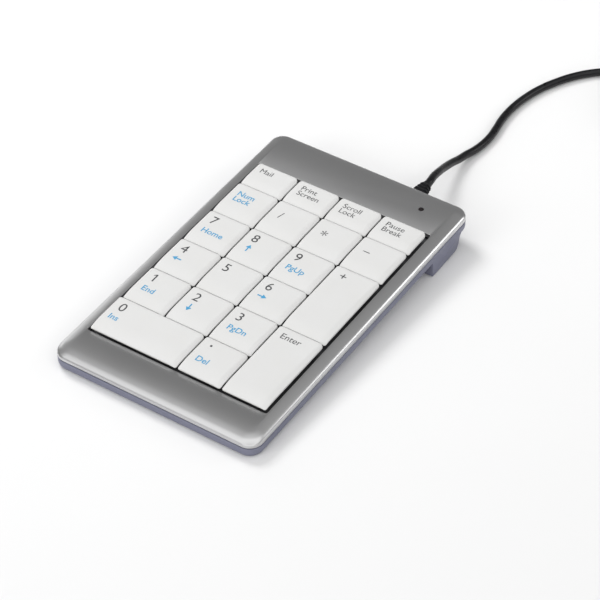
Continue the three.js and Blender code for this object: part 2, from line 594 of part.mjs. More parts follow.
add(keypad, 'cord_inner_lead', cordTailInside(), BLACK);
add(model, 'usb_cord', tube(LEAD, CORD.radius, CORD.sides, 26), BLACK);
add(model, 'usb_cord_coil', cordCoil(), BLACK);
add(model, 'usb_cord_tail', tube(TAIL, CORD.radius, CORD.sides, 8), BLACK);
add(model, 'usb_plug_grip', plugGrip(), BLACK);
add(model, 'usb_plug_shell', plugShell(), STEEL);
add(model, 'usb_plug_tongue', plugTongue(), WHITE);

export default model;
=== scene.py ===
import json
import math

import bmesh
import bpy
from mathutils import Euler, Matrix, Vector


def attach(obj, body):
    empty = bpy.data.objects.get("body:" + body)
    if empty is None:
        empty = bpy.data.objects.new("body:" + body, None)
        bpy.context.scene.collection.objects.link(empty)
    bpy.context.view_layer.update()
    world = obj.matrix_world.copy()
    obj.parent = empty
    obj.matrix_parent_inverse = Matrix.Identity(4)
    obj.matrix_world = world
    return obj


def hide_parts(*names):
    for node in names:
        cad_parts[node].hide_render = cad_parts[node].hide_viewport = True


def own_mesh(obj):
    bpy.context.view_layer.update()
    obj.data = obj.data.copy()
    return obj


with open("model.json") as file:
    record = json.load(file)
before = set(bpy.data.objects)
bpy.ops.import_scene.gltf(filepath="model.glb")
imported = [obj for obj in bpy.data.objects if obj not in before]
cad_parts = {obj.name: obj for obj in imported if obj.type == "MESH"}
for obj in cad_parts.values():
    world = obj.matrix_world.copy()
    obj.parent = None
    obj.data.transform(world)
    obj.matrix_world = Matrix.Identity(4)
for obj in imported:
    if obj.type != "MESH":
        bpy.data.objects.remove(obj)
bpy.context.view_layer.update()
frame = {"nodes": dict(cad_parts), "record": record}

# A low-profile numeric keypad on a USB cord. Lengths are in metres once they leave this script's
# helpers; the housing's own sizes are given in millimetres, in the frame it is drawn in: flat, with
# z = 0 on the underside of the tray. HOUSE leans that frame forward on its rear feet.
MM = 0.001

# ---- Driving sizes, in millimetres ----
CASE_WALL = 1.8
CORNER = 5.5
COVER_LIP = 5.9
COVER_CEILING = 6.1
COVER_TOP = 7.8
# The cover's crown: height, how far in it lies from the side and rear edges, and from the front.
CROWN = [
    (COVER_LIP, 0, 0), (6.35, 0.12, 0.35), (6.6, 0.28, 0.75), (7.05, 0.8, 1.75),
    (7.3, 1.5, 2.7), (7.65, 3.3, 4.7), (COVER_TOP, 4.5, 6.8),
]
KEY_WINDOW = ((-39.1, -58.0), (38.7, 52.3))
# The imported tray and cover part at 4.2 and 4.5. The groove is drawn wider, so that it shows as in the photo.
TRAY_RIM = 4.12
COVER_BOTTOM = 4.58
TRAY_ROUND = 2.0
TRAY_FLOOR = 1.2
TRAY_WALL = CASE_WALL + 1.2
TRAY_TONGUE = 5.2
BOSS_RADIUS = 2.2
SCREW_HOLE = 1.1
PAD_RADIUS = 4.5
CAP_WALL = 0.9
PLUNGER = {"outer": 4.4, "inner": 3.4, "boss": 1.3}
# A cap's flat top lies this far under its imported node's, and the ink this far above the cap.
LEGEND_SINK = 0.015
LEGEND_LIFT = 0.03
# A long key's wire: reach is from the key's middle out to each arm, offset from the middle to the
# bar, and rise is how far the bar stands above the pivot with the key up.
WIRE = {
    "radius": 0.5, "arm": 6, "reach": 12, "stub": 2.2, "pivot": 5.2, "rise": 1, "offset": 7.4,
    "bend": 1.3, "hook": 7.5,
}
DOME = {"base": 3.3, "crown": 1.6, "floor": 2.7, "top": 5.0, "skin": 0.3}
CORD_RADIUS = 1.6
GLAND = {"width": 7.2, "height": 4.2, "proud": 6.5, "ribs": 4}
# How far the strain relief's sleeve reaches on over the start of the cord.
CORD_GAP = 0.75


# ---- The housing's frame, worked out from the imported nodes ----
def press_joint(key):
    return next(j for j in frame["record"]["behaviour"]["joints"] if j["name"] == key + "_press")


TILT = math.atan2(press_joint("5")["axis"][1], -press_joint("5")["axis"][2])
LEAN = Matrix.Rotation(TILT, 4, "X")


def box_in(matrix, node):
    """Lowest and highest corner of a node's mesh, seen from a frame whose inverse is given."""
    points = [matrix @ v.co for v in frame["nodes"][node].data.vertices]
    low = Vector(min(p[i] for p in points) for i in range(3))
    high = Vector(max(p[i] for p in points) for i in range(3))
    return low, high


cover_low, cover_high = box_in(LEAN.inverted(), "top_cover")
HOUSE = LEAN @ Matrix.Translation((0, (cover_low.y + cover_high.y) / 2, cover_high.z - COVER_TOP * MM))
HALF_WIDTH = (cover_high.x - cover_low.x) / 2 / MM
HALF_LENGTH = (cover_high.y - cover_low.y) / 2 / MM


def local_box(node):
    """A node's box in the housing's frame, in millimetres."""
    low, high = box_in(HOUSE.inverted(), node)
    return low / MM, high / MM


# ---- Camera ----
def add_camera():
    data = bpy.data.cameras.new("camera")
    data.sensor_width = 36
    data.lens = 141.27
    data.clip_end = 50
    camera = bpy.data.objects.new("camera", data)
    camera.location = (0.36409, -0.55120, 0.57261)
    camera.rotation_euler = Euler((math.radians(49.084), math.radians(-1.106), math.radians(33.352)))
    bpy.context.collection.objects.link(camera)
    bpy.context.scene.camera = camera


add_camera()

# ---- Cord: the same route as the CAD model's, in metres ----
LEAD = [
    (0.0202, 0.0804, 0.0114), (0.0200, 0.0830, 0.0115), (0.0193, 0.0866, 0.0110), (0.0186, 0.0913, 0.0098),
    (0.01795, 0.0957, 0.0083), (0.01745, 0.1006, 0.0067), (0.0172, 0.1057, 0.0051), (0.01735, 0.1107, 0.0036),
    (0.0176, 0.1159, 0.0026), (0.0184, 0.1208, 0.0020), (0.01905, 0.1266, 0.00175), (0.0190, 0.1331, 0.0017),
    (0.0182, 0.1391, 0.0017), (0.0172, 0.1449, 0.0017), (0.0167, 0.1510, 0.0017), (0.0168, 0.1575, 0.0017),
    (0.0177, 0.1650, 0.0017), (0.0196, 0.1732, 0.0017), (0.0226, 0.1810, 0.0017), (0.0264, 0.1884, 0.0017),
    (0.0312, 0.1950, 0.0017), (0.0368, 0.2004, 0.0017), (0.0432, 0.2052, 0.0017), (0.0510, 0.2110, 0.0017),
]
TAIL = [
    (0.0976, 0.1935, 0.0108), (0.0976, 0.1874, 0.0097), (0.0978, 0.1800, 0.0078), (0.0982, 0.1730, 0.0060),
    (0.0986, 0.1660, 0.0047), (0.0988, 0.1600, 0.0041),
]
COIL = {"x": 0.0749, "y": 0.2005, "outer": 0.0227, "layers": 4, "turns": 11.35, "start": math.radians(126.87)}
COIL_POINTS_A_TURN = 20
RAMP = 0.14


def coil_point(turn):
    """The cord's centre after so many turns: it winds in, climbs a layer, winds out, and so on."""
    a_layer = COIL["turns"] / COIL["layers"]
    layer = min(int(turn / a_layer), COIL["layers"] - 1)
    within = turn - layer * a_layer
    inward = within if layer % 2 == 0 else a_layer - within
    radius = COIL["outer"] - inward * 2 * CORD_RADIUS * MM
    lift = layer
    for step in range(1, COIL["layers"]):
        away = turn - step * a_layer
        if abs(away) < RAMP:
            share = (away + RAMP) / (2 * RAMP)
            lift = step - 1 + share * share * (3 - 2 * share)
    angle = COIL["start"] - 2 * math.pi * turn
    height = CORD_RADIUS * MM * (1 + 2 * lift)
    return (COIL["x"] + radius * math.cos(angle), COIL["y"] + radius * math.sin(angle), height)


def cord_route():
    count = round(COIL["turns"] * COIL_POINTS_A_TURN)
    coil = [coil_point(COIL["turns"] * i / count) for i in range(count + 1)]
    return LEAD + coil + TAIL


def add_curve(name, points, radius):
    """A round cord through the points, as a smooth curve of one open spline."""
    data = bpy.data.curves.new(name, "CURVE")
    data.dimensions = "3D"
    data.bevel_depth = radius
    data.bevel_resolution = 5
    data.resolution_u = 6
    data.use_fill_caps = True
    spline = data.splines.new("BEZIER")
    spline.bezier_points.add(len(points) - 1)
    for place, point in zip(spline.bezier_points, points):
        place.co = point
        place.handle_left_type = place.handle_right_type = "AUTO"
    piece = bpy.data.objects.new(name, data)
    bpy.context.collection.objects.link(piece)
    return piece


# ---- Materials: small node helpers ----
class Finish:
    """A principled material, with helpers that wire noise into its colour, roughness and bump."""

    def __init__(self, name, colour, roughness, metallic=0.0, **sockets):
        self.material = bpy.data.materials.new(name)
        self.material.use_nodes = True
        self.tree = self.material.node_tree
        self.shader = self.tree.nodes["Principled BSDF"]
        self.shader.inputs["Base Color"].default_value = (*colour, 1)
        self.shader.inputs["Roughness"].default_value = roughness
        self.shader.inputs["Metallic"].default_value = metallic
        for socket, value in sockets.items():
            self.shader.inputs[socket.replace("_", " ")].default_value = value
        self.colour = colour
        self.roughness = roughness
        self.place = self.tree.nodes.new("ShaderNodeTexCoord").outputs["Object"]
        self.normal = None

    def node(self, kind, **values):
        made = self.tree.nodes.new(kind)
        for key, value in values.items():
            if key in made.inputs:
                made.inputs[key].default_value = value
            else:
                setattr(made, key, value)
        return made

    def noise(self, size_mm, detail, stretch=None):
        """Noise whose grains are about size_mm across."""
        texture = self.node("ShaderNodeTexNoise", Scale=1 / (size_mm * MM), Detail=detail, Roughness=0.5)
        source = self.place
        if stretch:
            mapping = self.node("ShaderNodeMapping", Scale=stretch)
            self.tree.links.new(source, mapping.inputs["Vector"])
            source = mapping.outputs["Vector"]
        self.tree.links.new(source, texture.inputs["Vector"])
        return texture.outputs["Fac"]

    def spread(self, value, low, high, start=0.3, end=0.7):
        """Maps a noise value to the range from low to high."""
        spread = self.node("ShaderNodeMapRange")
        for socket, number in zip(("From Min", "From Max", "To Min", "To Max"), (start, end, low, high)):
            spread.inputs[socket].default_value = number
        self.tree.links.new(value, spread.inputs["Value"])
        return spread.outputs["Result"]

    def mottle(self, size_mm, other, amount, detail=3.0):
        """Blends the base colour towards another one in soft patches."""
        mix = self.node("ShaderNodeMix", data_type="RGBA")
        mix.inputs["A"].default_value = (*self.colour, 1)
        mix.inputs["B"].default_value = (*other, 1)
        factor = self.spread(self.noise(size_mm, detail), 0, amount)
        self.tree.links.new(factor, mix.inputs["Factor"])
        self.tree.links.new(mix.outputs["Result"], self.shader.inputs["Base Color"])
        return self

    def vary_roughness(self, size_mm, swing, detail=4.0):
        value = self.spread(self.noise(size_mm, detail), self.roughness - swing, self.roughness + swing)
        self.tree.links.new(value, self.shader.inputs["Roughness"])
        return self

    def bump(self, size_mm, depth_mm, detail=3.0, stretch=None):
        node = self.node("ShaderNodeBump", Strength=1.0, Distance=depth_mm * MM)
        self.tree.links.new(self.noise(size_mm, detail, stretch), node.inputs["Height"])
        if self.normal is not None:
            self.tree.links.new(self.normal, node.inputs["Normal"])
        self.normal = node.outputs["Normal"]
        self.tree.links.new(self.normal, self.shader.inputs["Normal"])
        return self


def silver_paint():
    paint = Finish(
        "silver_paint", (0.61, 0.61, 0.613), 0.3, metallic=0.92, Coat_Weight=0.1, Coat_Roughness=0.2,
    )
    paint.mottle(6, (0.62, 0.62, 0.623), 0.8, detail=1.0)
    paint.vary_roughness(30, 0.01, detail=1.0)
    paint.bump(4, 0.003, detail=1.0)
    return paint.material


def blue_grey_plastic():
    plastic = Finish("blue_grey_plastic", (0.165, 0.17, 0.235), 0.48)
    plastic.mottle(14, (0.18, 0.185, 0.25), 0.8)
    plastic.vary_roughness(5, 0.06)
    plastic.bump(0.35, 0.018, detail=2.0)
    return plastic.material


def white_keycap():
    plastic = Finish("white_keycap", (0.645, 0.645, 0.64), 0.42, Specular_IOR_Level=0.5)
    plastic.mottle(11, (0.635, 0.633, 0.623), 0.9)
    plastic.vary_roughness(6, 0.06)
    plastic.bump(0.3, 0.006, detail=2.0)
    return plastic.material


def legend_ink(name, colour):
    ink = Finish(name, colour, 0.5)
    ink.mottle(0.25, tuple(c * 1.35 + 0.02 for c in colour), 0.7)
    ink.vary_roughness(0.6, 0.08)
    ink.bump(0.12, 0.003)
    return ink.material


# The default grey of 0.055 is lifted above the plastic's own near-black. This is painted light: it stands in
# for the light that gets down into the gaps round the keys, where the guide frame shows.
def black_plastic(name="black_plastic", shade=0.055, roughness=0.5):
    plastic = Finish(name, (shade, shade, shade * 1.05), roughness)
    plastic.mottle(4, (shade * 1.5, shade * 1.5, shade * 1.6), 0.8)
    plastic.vary_roughness(2, 0.08)
    plastic.bump(0.25, 0.012)
    return plastic.material


def soft_pvc(name, roughness):
    pvc = Finish(name, (0.006, 0.006, 0.007), roughness, Specular_IOR_Level=0.3)
    pvc.mottle(6, (0.010, 0.010, 0.012), 0.8)
    pvc.vary_roughness(3, 0.05)
    pvc.bump(0.4, 0.003).bump(3.5, 0.02)
    return pvc.material


def foot_rubber():
    rubber = Finish("foot_rubber", (0.03, 0.03, 0.032), 0.8)
    rubber.mottle(1.5, (0.05, 0.05, 0.052), 0.8)
    rubber.vary_roughness(1, 0.1)
    rubber.bump(0.3, 0.03)
    return rubber.material


def metal(name, colour, roughness, grain=(1, 12, 12)):
    steel = Finish(name, colour, roughness, metallic=1.0)
    steel.mottle(3, tuple(c * 0.88 for c in colour), 0.8)
    steel.vary_roughness(1.2, 0.08)
    steel.bump(0.4, 0.004, stretch=grain)
    return steel.material


def dark_silicone():
    silicone = Finish("silicone_domes", (0.020, 0.019, 0.018), 0.6)
    silicone.mottle(5, (0.030, 0.028, 0.026), 0.6)
    silicone.vary_roughness(2, 0.08)
    silicone.bump(0.6, 0.01)
    return silicone.material


def printed_film():
    film = Finish("membrane_film", (0.56, 0.66, 0.64), 0.22)
    tracks = film.node(
        "ShaderNodeTexWave", wave_type="BANDS", bands_direction="X", Scale=330.0, Distortion=2.0,
    )
    film.tree.links.new(film.place, tracks.inputs["Vector"])
    mix = film.node("ShaderNodeMix", data_type="RGBA")
    mix.inputs["A"].default_value = (0.56, 0.66, 0.64, 1)
    mix.inputs["B"].default_value = (0.42, 0.43, 0.44, 1)
    film.tree.links.new(film.spread(tracks.outputs["Fac"], 0, 1, 0.72, 0.8), mix.inputs["Factor"])
    film.tree.links.new(mix.outputs["Result"], film.shader.inputs["Base Color"])
    film.vary_roughness(4, 0.05)
    film.bump(2, 0.01)
    return film.material


def board_laminate():
    board = Finish("circuit_board", (0.012, 0.10, 0.045), 0.35, Coat_Weight=0.3)
    board.mottle(0.9, (0.03, 0.17, 0.08), 0.7)
    board.vary_roughness(1.5, 0.08)
    board.bump(0.8, 0.02)
    return board.material


def pale_plastic(name, colour, roughness=0.45):
    plastic = Finish(name, colour, roughness)
    plastic.mottle(2, tuple(c * 0.93 for c in colour), 0.8)
    plastic.vary_roughness(1.5, 0.07)
    plastic.bump(0.3, 0.008)
    return plastic.material


def smoked_lens():
    lens = Finish("led_lens", (0.010, 0.008, 0.009), 0.14, Coat_Weight=0.5)
    lens.mottle(0.5, (0.018, 0.012, 0.012), 0.6)
    lens.vary_roughness(0.8, 0.04)
    lens.bump(0.5, 0.004)
    return lens.material


def floor_paint():
    paint = Finish("studio_floor", (0.80, 0.80, 0.80), 0.75)
    paint.vary_roughness(60, 0.05)
    paint.bump(1.2, 0.01)
    return paint.material


MATERIALS = {
    "silver_paint": silver_paint(),
    "blue_grey_plastic": blue_grey_plastic(),
    "white_keycap": white_keycap(),
    "black_plastic": black_plastic(),
    "silicone_domes": dark_silicone(),
    "membrane_film": printed_film(),
    "plate_steel": metal("plate_steel", (0.60, 0.60, 0.60), 0.36),
    "screw_steel": metal("screw_steel", (0.52, 0.52, 0.53), 0.3, grain=(4, 4, 1)),
    "spring_wire": metal("spring_wire", (0.62, 0.62, 0.60), 0.28),
    "circuit_board": board_laminate(),
    "chip_epoxy": black_plastic("chip_epoxy", 0.014, 0.25),
    "clamp_plastic": black_plastic("clamp_plastic", 0.02, 0.5),
    "header_nylon": pale_plastic("header_nylon", (0.72, 0.70, 0.62)),
    "led_epoxy": pale_plastic("led_epoxy", (0.45, 0.62, 0.36), 0.2),
    "led_lens": smoked_lens(),
    "foot_rubber": foot_rubber(),
    "relief_pvc": soft_pvc("relief_pvc", 0.42),
    "cord_pvc": soft_pvc("cord_pvc", 0.3),
    "plug_overmould": soft_pvc("plug_overmould", 0.45),
    "plug_steel": metal("plug_steel", (0.66, 0.65, 0.62), 0.24),
    "plug_gold": metal("plug_gold", (0.83, 0.62, 0.26), 0.25),
    "plug_insulator": pale_plastic("plug_insulator", (0.75, 0.75, 0.72)),
}
DARK_INK = legend_ink("dark_legend_ink", (0.045, 0.047, 0.05))
BLUE_INK = legend_ink("blue_legend_ink", (0.055, 0.27, 0.47))


def dress_cad_nodes():
    """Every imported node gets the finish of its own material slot."""
    for entry in frame["record"]["subparts"]:
        node = frame["nodes"][entry["node"]]
        node.data.materials.clear()
        node.data.materials.append(MATERIALS[entry["material_slot"]])


dress_cad_nodes()


# ---- Mesh helpers, in the housing's frame and in millimetres ----
SHARP_ANGLE = 30


def rounded(x0, x1, y0, y1, radii, steps, along=None):
    """Points round a rectangle from its right rear corner, counter-clockwise, one radius a corner.

    along is how many extra points divide the rear, left, front and right sides.
    """
    corners = [(x1, y1, -1, -1), (x0, y1, 1, -1), (x0, y0, 1, 1), (x1, y0, -1, 1)]

    def on_corner(quarter, share):
        x, y, to_x, to_y = corners[quarter % 4]
        radius = radii[quarter % 4]
        angle = (quarter + share) * math.pi / 2
        return x + to_x * radius + radius * math.cos(angle), y + to_y * radius + radius * math.sin(angle)

    points = []
    for quarter in range(4):
        points += [on_corner(quarter, i / steps) for i in range(steps + 1)]
        if along:
            start, end = points[-1], on_corner(quarter + 1, 0)
            parts = along[quarter] + 1
            for i in range(1, parts):
                points.append(tuple(a + (b - a) * (i / parts) for a, b in zip(start, end)))
    return points


def loft(rings, close_ends=True, loop=False):
    """A bmesh skinned over rings of equal count; each ring is a list of (x, y, z)."""
    mesh = bmesh.new()
    rows = [[mesh.verts.new(p) for p in ring] for ring in rings]
    pairs = list(zip(rows, rows[1:])) + ([(rows[-1], rows[0])] if loop else [])
    for low, high in pairs:
        for i in range(len(low)):
            j = (i + 1) % len(low)
            mesh.faces.new((low[i], low[j], high[j], high[i]))
    if close_ends and not loop:
        mesh.faces.new(list(reversed(rows[0])))
        mesh.faces.new(rows[-1])
    return mesh


def level(points, z):
    return [(x, y, z) for x, y in points]


def finish_mesh(name, mesh, material, matrix=None, sharp=SHARP_ANGLE):
    """Turns a bmesh in millimetres, in the housing's frame or matrix's, into a shaded object."""
    bmesh.ops.transform(mesh, matrix=(matrix or HOUSE) @ Matrix.Scale(MM, 4), verts=mesh.verts)
    bmesh.ops.recalc_face_normals(mesh, faces=mesh.faces)
    for edge in mesh.edges:
        if len(edge.link_faces) == 2:
            edge.smooth = edge.calc_face_angle(0) < math.radians(sharp)
    for face in mesh.faces:
        face.smooth = True
    data = bpy.data.meshes.new(name)
    mesh.to_mesh(data)
    mesh.free()
    data.materials.append(material)
    piece = bpy.data.objects.new(name, data)
    bpy.context.collection.objects.link(piece)
    return piece


def add_part(piece, body, slot, *nodes):
    """Attaches a finished piece to the body it rides on and hides the nodes it stands for; its material slot
    is not used.
    """
    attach(piece, body)
    if nodes:
        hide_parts(*nodes)
    return piece


def cut(piece, cutters, operation="DIFFERENCE"):
    """Applies an exact boolean with every cutter and removes the cutters."""
    bpy.context.view_layer.objects.active = piece
    for cutter in cutters:
        step = piece.modifiers.new("cut", "BOOLEAN")
        step.operation = operation
        step.solver = "EXACT"
        step.object = cutter
        bpy.context.view_layer.update()
        solid = bpy.data.meshes.new_from_object(piece.evaluated_get(bpy.context.evaluated_depsgraph_get()))
        piece.modifiers.clear()
        old = piece.data
        piece.data = solid
        bpy.data.meshes.remove(old)
        bpy.data.objects.remove(cutter)
    return piece


def tool(mesh):
    """A shape to cut away or to join on."""
    return finish_mesh("tool", mesh, MATERIALS["black_plastic"])


def ring(x, y, radius, height, sides=32):
    """A round of points; height is a number, or a function of a point's y."""
    points = []
    for i in range(sides):
        angle = 2 * math.pi * i / sides
        py = y + radius * math.sin(angle)
        points.append((x + radius * math.cos(angle), py, height(py) if callable(height) else height))
    return points


def post(x, y, radius, z0, z1, sides=40):
    return loft([ring(x, y, radius, z0, sides), ring(x, y, radius, z1, sides)])


def slab(x0, x1, y0, y1, z0, z1, radius=0.4, steps=3):
    points = rounded(x0, x1, y0, y1, [radius] * 4, steps)
    return loft([level(points, z0), level(points, z1)])


# ---- Top cover ----
CORNER_STEPS = 12


def case_plan(side, front=None):
    """The housing's outline, pulled in from its edges; the front can be pulled in by its own amount."""
    front = side if front is None else front
    rear_radius = max(CORNER - side, 1.0)
    front_radius = rear_radius + front - side
    radii = [rear_radius, rear_radius, front_radius, front_radius]
    return rounded(
        -HALF_WIDTH + side, HALF_WIDTH - side, -HALF_LENGTH + front, HALF_LENGTH - side, radii, CORNER_STEPS,
    )


def eased(table, z, column):
    """Reads one column of a table of heights, eased smoothly between its rows."""
    row = next(i for i in range(len(table) - 1) if z <= table[i + 1][0] + 1e-9)

    def slope(i):
        before, after = table[max(i - 1, 0)], table[min(i + 1, len(table) - 1)]
        return (after[column] - before[column]) / (after[0] - before[0])

    start, end = table[row], table[row + 1]
    span = end[0] - start[0]
    t = (z - start[0]) / span
    blend = t * t * (3 - 2 * t)
    bend = slope(row) * t * (1 - t) ** 2 - slope(row + 1) * t * t * (1 - t)
    return start[column] + (end[column] - start[column]) * blend + bend * span


def top_cover():
    soft = 0.15
    rings = [
        level(case_plan(soft), COVER_BOTTOM), level(case_plan(0.04), COVER_BOTTOM + 0.05),
        level(case_plan(0), COVER_BOTTOM + soft), level(case_plan(0), COVER_LIP - 0.1),
    ]
    for (low, *_), (high, *_) in zip(CROWN, CROWN[1:]):
        for i in range(3):
            z = low + (high - low) * i / 3
            rings.append(level(case_plan(eased(CROWN, z, 1), eased(CROWN, z, 2)), z))
    rings.append(level(case_plan(*CROWN[-1][1:]), COVER_TOP))
    edge = 0.2
    (left, front), (right, rear) = KEY_WINDOW
    for grow, z in (
        (edge, COVER_TOP), (edge * 0.3, COVER_TOP - edge * 0.3), (0, COVER_TOP - edge), (0, COVER_CEILING),
    ):
        window = rounded(left - grow, right + grow, front - grow, rear + grow, [0.8 + grow] * 4, CORNER_STEPS)
        rings.append(level(window, z))
    rings.append(level(case_plan(CASE_WALL), COVER_CEILING))
    rings.append(level(case_plan(CASE_WALL), COVER_BOTTOM))
    cover = finish_mesh("top_cover_shell", loft(rings, loop=True), MATERIALS["silver_paint"])
    bosses = [tool(post(*place, BOSS_RADIUS, 2.7, COVER_CEILING + 0.3)) for place in CASE_SCREWS]
    cut(cover, bosses, "UNION")
    holes = [tool(post(*place, SCREW_HOLE, 2, 5.0, sides=20)) for place in CASE_SCREWS]
    holes.append(tool(post(*node_centre("led_window"), 1.12, COVER_BOTTOM - 1, COVER_TOP + 1)))
    holes.append(tool(gland_notch()))
    cut(cover, holes)
    shade_by_angle(cover)
    return add_part(cover, "housing", "silver_paint", "top_cover")


def shade_by_angle(piece):
    """Smooths a piece again after its cuts, all but the edges sharper than SHARP_ANGLE degrees."""
    mesh = bmesh.new()
    mesh.from_mesh(piece.data)
    for edge in mesh.edges:
        edge.smooth = len(edge.link_faces) == 2 and edge.calc_face_angle(0) < math.radians(SHARP_ANGLE)
    for face in mesh.faces:
        face.smooth = True
    mesh.to_mesh(piece.data)
    mesh.free()


def node_centre(node):
    low, high = local_box(node)
    return (low.x + high.x) / 2, (low.y + high.y) / 2


CASE_SCREWS = [node_centre(f"case_screw_{i}") for i in range(1, 7)]
PADS = ["foot_pad_" + corner for corner in ("front_left", "front_right", "rear_left", "rear_right")]


def gland_notch():
    """The room that the strain relief needs in the rear wall, with a little play."""
    low, high = local_box("cord_strain_relief")
    return slab(
        low.x - 0.25, high.x + 0.25, HALF_LENGTH - 7.2, HALF_LENGTH + 1, low.z - 0.2, high.z + 0.2, 0.3,
    )


# ---- Bottom tray ----
def foot_solid(side):
    """A rear corner foot, with its edges rounded."""
    outer, inner = side * (HALF_WIDTH - 0.02), side * (HALF_WIDTH - 14)
    profile = [
        (45.7, 3.3), (45.7, -5.45), (45.95, -5.7), (62.2, -5.7), (63.2, -5.45), (64.0, -4.9), (64.6, -4.0),
        (65.0, -3.0), (65.3, -1.8), (65.6, -0.5), (66.1, 0.6), (66.9, 1.7), (67.8, 3.3),
    ]
    soft = 0.35
    rings = []
    for share, pull in ((0, soft), (0.25, soft * 0.35), (1, 0)):
        rings.append([(outer - side * soft * share, y, z) for y, z in shrink(profile, pull)])
    rings.append([(inner + side * soft, y, z) for y, z in profile])
    rings.append([(inner, y, z) for y, z in shrink(profile, soft)])
    return loft(rings)


def shrink(profile, pull):
    """Draws a profile in towards its middle by about pull, for a softened edge."""
    middle_y = sum(y for y, _ in profile) / len(profile)
    middle_z = sum(z for _, z in profile) / len(profile)
    out = []
    for y, z in profile:
        reach = math.hypot(y - middle_y, z - middle_z)
        share = 1 - pull / reach
        out.append((middle_y + (y - middle_y) * share, middle_z + (z - middle_z) * share))
    return out


def bottom_tray():
    rings = []
    count = 8
    for i in range(count + 1):
        angle = math.pi / 2 * i / count
        inset = 1.6 * (1 - math.sin(angle))
        rings.append(level(case_plan(inset), TRAY_ROUND * (1 - math.cos(angle))))
    rings += [level(case_plan(0), TRAY_RIM - 0.15), level(case_plan(0.15), TRAY_RIM)]
    rings += [level(case_plan(CASE_WALL + 0.3), z) for z in (TRAY_RIM, TRAY_TONGUE)]
    rings += [level(case_plan(TRAY_WALL), z) for z in (TRAY_TONGUE, TRAY_FLOOR)]
    tray = finish_mesh("bottom_tray", loft(rings), MATERIALS["blue_grey_plastic"])
    cut(tray, [tool(foot_solid(side)) for side in (-1, 1)], "UNION")
    inside_x, inside_y = HALF_WIDTH - TRAY_WALL, HALF_LENGTH - TRAY_WALL
    cut(tray, [tool(slab(-inside_x, inside_x, 44, inside_y, TRAY_FLOOR, TRAY_RIM, CORNER - TRAY_WALL, 6))])
    cut(tray, [tool(post(*place, 3.6, TRAY_FLOOR - 0.5, 2.4)) for place in CASE_SCREWS], "UNION")
    holes = []
    for place in CASE_SCREWS:
        holes += [tool(post(*place, 2.3, -1, 1.2)), tool(post(*place, SCREW_HOLE, -1, 3, sides=24))]
    for pad in PADS:
        top = local_box(pad)[1].z
        holes.append(tool(post(*node_centre(pad), PAD_RADIUS + 0.3, top - 3, top + 0.3)))
    low, high = local_box("controller_board")
    holes.append(tool(slab(low.x - 0.3, high.x + 0.3, low.y - 0.3, high.y + 0.3, 0.8, 3)))
    for side in (-1, 1):
        flank = sorted((side * (HALF_WIDTH - 12.5), side * (HALF_WIDTH - 1.5)))
        holes.append(tool(slab(*flank, 47.2, 61.5, -3.5, 2.2, 0.5)))
    holes.append(tool(gland_notch()))
    cut(tray, holes)
    shade_by_angle(tray)
    return add_part(tray, "housing", "blue_grey_plastic", "bottom_cover")


# ---- Keycaps ----
KEY_NODES = [n for n in frame["nodes"] if n.startswith("key_") and n != "key_guide_frame"]
CAP_STEPS = 5
# How far past the grid the 0 cap goes on the left, and the right column's caps on the right.
REACH = {"left": 0.5, "right": 0.3}
RIGHT_COLUMN = ("pause", "minus", "plus", "enter")


def cap_height(x, y, box, top):
    """The cap's top: a flat field that falls away over the front, over a bevel on the right that widens
    towards the front, and a little at the left and the rear."""
    low, high = box
    front = max(0.0, 1 - (y - low.y) / min(0.35 * (high.y - low.y), 6.5))
    bevel = 1.3 + 1.3 * min((high.y - y) / 19, 1.0)
    right = max(0.0, 1 - (high.x - x) / bevel)
    left = max(0.0, 1 - (x - low.x) / 1.2)
    rear = max(0.0, 1 - (high.y - y) / 1.1)
    return top - LEGEND_SINK - 0.8 * front ** 1.8 - 0.8 * right ** 1.35 - 0.18 * left ** 2 - 0.18 * rear ** 2


def keycap(node):
    low, high = local_box(node)
    key = node[len("key_"):]
    rear_radius = 1.9 if high.y - low.y < 15 else 1.2
    radii = [rear_radius, rear_radius * 0.8, 0.6, 0.9]
    sides = [max(4, round((high.x - low.x) / 2)), max(10, round((high.y - low.y) / 1.2))]
    along = [sides[0], sides[1], sides[0], sides[1]]
    rim = high.z - 1.5

    def outline(inset):
        return rounded(
            low.x + inset, high.x - inset, low.y + inset, high.y - inset,
            [max(r - inset, 0.2) for r in radii], CAP_STEPS, along,
        )

    rings = [level(outline(CAP_WALL), rim + 0.5), level(outline(CAP_WALL), rim)]
    rings += [level(outline(0.12), rim), level(outline(0.02), rim + 0.08)]
    edge = 0.16
    skirt = outline(0)
    rings.append([(x, y, cap_height(x, y, (low, high), high.z) - edge) for x, y in skirt])
    for inset, drop in ((0.05, 0.06), (edge, 0.0)):
        rings.append([(x, y, cap_height(x, y, (low, high), high.z) - drop) for x, y in outline(inset)])
    for inset in (0.35, 0.7, 1.1, 1.5, 1.8, 2.1, 2.5, 3.2, 4.2, 5.3, 6.2):
        rings.append([(x, y, cap_height(x, y, (low, high), high.z)) for x, y in outline(inset)])
    mesh = loft(rings, close_ends=False)
    mesh.verts.ensure_lookup_table()
    count = len(skirt)
    top_ring = mesh.verts[-count:]
    mesh.faces.new(top_ring)
    add_plunger(mesh, mesh.verts[:count], node, rim + 0.5)
    cap = finish_mesh(node + "_cap", mesh, MATERIALS["white_keycap"], sharp=40)
    return add_part(cap, key + "_key", "white_keycap", node)


def key_centre(node):
    """Where a key's plunger stands: the middle of its place in the grid, which an edge cap overhangs."""
    low, high = local_box(node)
    left = REACH["left"] if node == "key_0" else 0
    right = REACH["right"] if node[len("key_"):] in RIGHT_COLUMN else 0
    return (low.x + left + high.x - right) / 2, (low.y + high.y) / 2


